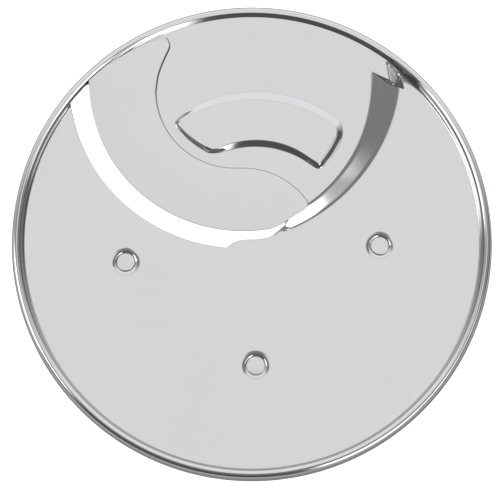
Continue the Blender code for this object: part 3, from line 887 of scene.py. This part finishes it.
class SlicingDiscSettings(bpy.types.PropertyGroup):
    """What a user would change on the disc."""

    plate_colour: FloatVectorProperty(
        name="Plate Steel", description="Colour of the pressed disc", subtype="COLOR", default=(0.66, 0.668, 0.662))
    blade_colour: FloatVectorProperty(
        name="Blade Steel", description="Colour of the blade", subtype="COLOR", default=(0.635, 0.643, 0.637))
    stud_colour: FloatVectorProperty(
        name="Stud Steel", description="Colour of the three drive studs", subtype="COLOR",
        default=(0.655, 0.663, 0.657))
    grain_depth: FloatProperty(
        name="Grain Depth", description="How strongly the brushed grain shows", default=0.15, min=0.0, max=1.0,
        subtype="FACTOR")


class StudioSettings(bpy.types.PropertyGroup):
    """What a user would change in the studio."""

    camera_distance: FloatProperty(
        name="Camera Distance", description="From the lens to the middle of the main plate", default=0.5, min=0.2,
        unit="LENGTH", subtype="DISTANCE")
    camera_tilt: FloatProperty(
        name="Camera Tilt", description="How far the camera leans from straight above, towards the front",
        default=radians(10.54), subtype="ANGLE", unit="ROTATION")
    focal_length: FloatProperty(
        name="Focal Length", description="Of the lens, for a 36 mm wide picture, in millimetres", default=97.33)
    floor_brightness: FloatProperty(
        name="Floor Brightness", description="How strongly the floor glows", default=1.03, min=0.0)


class DISC_OT_build_plate(bpy.types.Operator):
    """Build the pressed disc with its rim, ramp, boss, dimples and slot"""

    bl_idname = "slicing_disc.build_plate"
    bl_label = "Build Disc Plate"

    def execute(self, context):
        settings = context.scene.slicing_disc
        finish = steel("plate_steel", settings.plate_colour, 2600.0, 0.03, 0.035, (0.09, 0.12), 0.05,
                       settings.grain_depth)
        plate = placed("pressed_disc", plate_mesh(), finish, (0.0, 0.0, MAIN_TOP))
        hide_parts("disc_plate")
        return {"FINISHED"}


class DISC_OT_build_blade(bpy.types.Operator):
    """Build the curved blade on the raised half of the disc"""

    bl_idname = "slicing_disc.build_blade"
    bl_label = "Build Blade"

    def execute(self, context):
        settings = context.scene.slicing_disc
        finish = steel("blade_steel", settings.blade_colour, 3200.0, 0.04, 0.03, (0.09, 0.12), 0.1,
                       settings.grain_depth)
        seat = MAIN_TOP + PLATEAU_RISE + WELD_GAP
        blade = placed("ground_blade", blade_mesh(), finish, (0.0, 0.0, seat))
        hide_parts("slicing_blade")
        return {"FINISHED"}


class DISC_OT_build_studs(bpy.types.Operator):
    """Build the three turned drive studs under the dimples"""

    bl_idname = "slicing_disc.build_studs"
    bl_label = "Build Drive Studs"

    def execute(self, context):
        settings = context.scene.slicing_disc
        finish = steel("stud_steel", settings.stud_colour, 2600.0, 0.05, 0.035, (0.1, 0.13), 0.05,
                       settings.grain_depth)
        for name in STUD_PLACES_DEG:
            x, y = stud_place(name)
            stud = placed("turned_stud_" + name, stud_mesh(), finish, (x, y, 0.0), 50.0)
            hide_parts("drive_stud_" + name)
        return {"FINISHED"}


class DISC_OT_build_stage(bpy.types.Operator):
    """Build the pale floor, the soft studio light and the camera"""

    bl_idname = "slicing_disc.build_stage"
    bl_label = "Build Studio"

    def execute(self, context):
        settings = context.scene.disc_studio
        sheet = bmesh.new()
        bmesh.ops.create_grid(sheet, x_segments=1, y_segments=1, size=FLOOR_REACH)
        mesh = bpy.data.meshes.new("floor")
        sheet.to_mesh(mesh)
        sheet.free()
        mesh.materials.append(floor_material(settings.floor_brightness))
        floor = bpy.data.objects.new("floor", mesh)
        floor.location.z = -FLOOR_BELOW
        context.collection.objects.link(floor)
        studio_world()
        lens = bpy.data.cameras.new("camera")
        lens.sensor_width = SENSOR_WIDTH
        lens.lens = settings.focal_length
        lens.shift_x, lens.shift_y = LENS_SHIFT
        camera = bpy.data.objects.new("camera", lens)
        tilt = settings.camera_tilt
        back = Vector((0.0, -sin(tilt), cos(tilt)))
        camera.location = Vector((0.0, 0.0, MAIN_TOP * MM)) + back * settings.camera_distance
        camera.rotation_euler = (-back).to_track_quat("-Z", "Y").to_euler()
        context.collection.objects.link(camera)
        context.scene.camera = camera
        context.scene.view_settings.view_transform = "Standard"
        return {"FINISHED"}


class DISC_PT_panel(bpy.types.Panel):
    """Lists the pieces and the studio"""

    bl_label = "Slicing Disc"
    bl_space_type = "VIEW_3D"
    bl_region_type = "UI"
    bl_category = "Slicing Disc"

    def draw(self, context):
        layout = self.layout
        for name in ("plate_colour", "blade_colour", "stud_colour", "grain_depth"):
            layout.prop(context.scene.slicing_disc, name)
        for name in ("camera_distance", "camera_tilt", "focal_length", "floor_brightness"):
            layout.prop(context.scene.disc_studio, name)
        for operator in OPERATORS:
            layout.operator(operator.bl_idname)


OPERATORS = (DISC_OT_build_plate, DISC_OT_build_blade, DISC_OT_build_studs, DISC_OT_build_stage)
CLASSES = (SlicingDiscSettings, StudioSettings, *OPERATORS, DISC_PT_panel)


def register():
    for cls in CLASSES:
        bpy.utils.register_class(cls)
    bpy.types.Scene.slicing_disc = PointerProperty(type=SlicingDiscSettings)
    bpy.types.Scene.disc_studio = PointerProperty(type=StudioSettings)


def unregister():
    del bpy.types.Scene.disc_studio
    del bpy.types.Scene.slicing_disc
    for cls in reversed(CLASSES):
        bpy.utils.unregister_class(cls)


def main():
    """Build every piece and the studio."""
    register()
    bpy.ops.slicing_disc.build_plate()
    bpy.ops.slicing_disc.build_blade()
    bpy.ops.slicing_disc.build_studs()
    bpy.ops.slicing_disc.build_stage()


if __name__ == "__main__":
    main()
